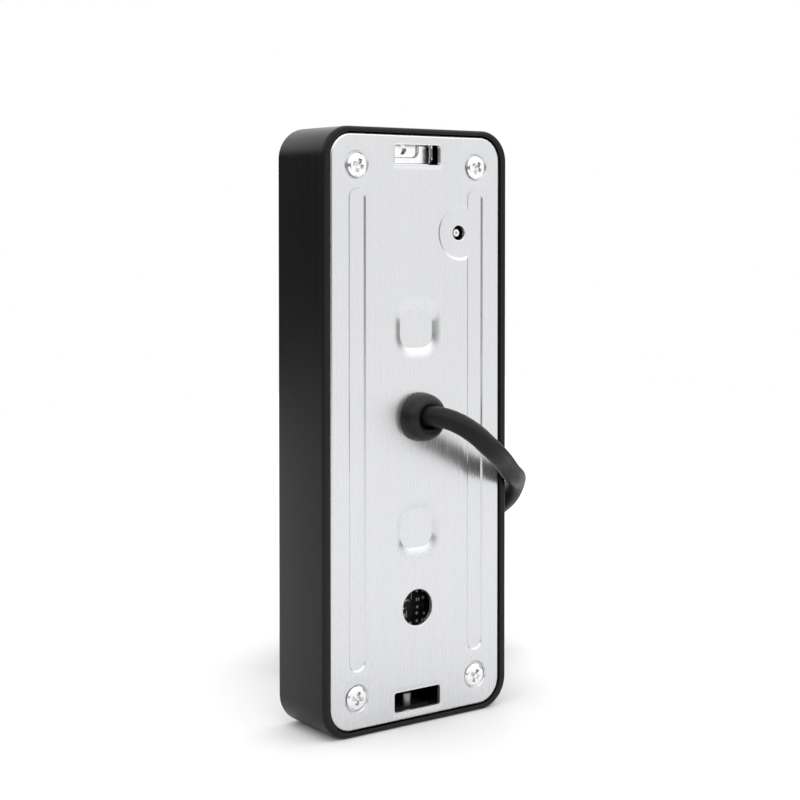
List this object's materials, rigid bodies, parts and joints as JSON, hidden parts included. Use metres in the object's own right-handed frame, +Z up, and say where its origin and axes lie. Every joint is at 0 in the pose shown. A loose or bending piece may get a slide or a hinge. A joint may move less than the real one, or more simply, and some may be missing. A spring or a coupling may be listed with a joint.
{
  "type": "video doorbell",
  "caption": "Slim upright video doorbell with a black metal shell, a stamped steel rear plate and a rear cable pigtail ending in a network socket.",
  "frame": {"origin": "middle of the body's bottom end, on the surface that it stands on (the cable and its fittings are left out of the reckoning)", "axes": "+Z up along the body; the front with the camera and call button faces -Y; the rear plate faces +Y; +X is to the right of a person facing the front"},
  "size_m": [0.0955, 0.1088, 0.15],
  "materials": {
    "black_aluminium": "brushed, black anodised",
    "brushed_steel": "vertical brushed grain",
    "bright_steel": "bright plated",
    "black_rubber": "satin moulded rubber",
    "cable_jacket": "soft satin jacket",
    "black_plastic": "fine texture",
    "white_plastic": "satin",
    "light_guide": "milky, clear gloss",
    "board": "black solder mask",
    "chip": "moulded epoxy",
    "lens_glass": "coated, dark",
    "foam": "closed-cell foam",
    "brass": "bright",
    "led": "clear lens"
  },
  "bodies": {
    "body": {"front_housing": "black_aluminium", "rear_plate": "brushed_steel", "rear_screw_1": "bright_steel", "rear_screw_2": "bright_steel", "rear_screw_3": "bright_steel", "rear_screw_4": "bright_steel", "board_screw_1": "bright_steel", "board_screw_2": "bright_steel", "board_screw_3": "bright_steel", "board_screw_4": "bright_steel", "hook_keeper": "bright_steel", "lock_screw": "bright_steel", "speaker_magnet": "bright_steel", "microphone": "bright_steel", "button_bezel": "bright_steel", "capacitor_1": "bright_steel", "capacitor_2": "bright_steel", "processor_shield": "bright_steel", "cable_gland": "black_rubber", "connector_boot": "black_rubber", "mic_boot": "black_rubber", "cord_lead": "cable_jacket", "cord_coil": "cable_jacket", "cord_tail": "cable_jacket", "inner_wires": "cable_jacket", "inner_frame": "black_plastic", "lock_block": "black_plastic", "camera_bezel": "black_plastic", "lens_barrel": "black_plastic", "lens_holder": "black_plastic", "speaker_basket": "black_plastic", "cord_tie": "black_plastic", "connector_shell": "black_plastic", "cable_header": "white_plastic", "cable_plug": "white_plastic", "ribbon_socket": "white_plastic", "light_ring": "light_guide", "main_board": "board", "camera_board": "board", "ir_board": "board", "led_ring_board": "board", "image_sensor": "chip", "light_sensor": "chip", "call_switch_body": "chip", "reset_switch_body": "chip", "network_transformer": "chip", "power_inductor": "chip", "radio_module": "chip", "camera_window": "lens_glass", "lens_element": "lens_glass", "ir_window": "lens_glass", "rear_gasket": "foam", "speaker_gasket": "foam", "speaker_cone": "foam", "connector_contacts": "brass", "ir_led_1": "led", "ir_led_2": "led"},
    "call_button": {"call_button_cap": "black_plastic", "call_switch_plunger": "white_plastic"},
    "reset_button": {"reset_plunger": "brass"}
  },
  "joints": [
    {"name": "call_button_press", "type": "slide", "parent": "body", "child": "call_button", "axis": [0, 1, 0], "range_m": [0, 0.0006], "stiffness_N_per_m": 500, "springref_m": -0.001},
    {"name": "reset_button_press", "type": "slide", "parent": "body", "child": "reset_button", "axis": [0, -1, 0], "range_m": [0, 0.0003], "stiffness_N_per_m": 400, "springref_m": -0.0008}
  ]
}
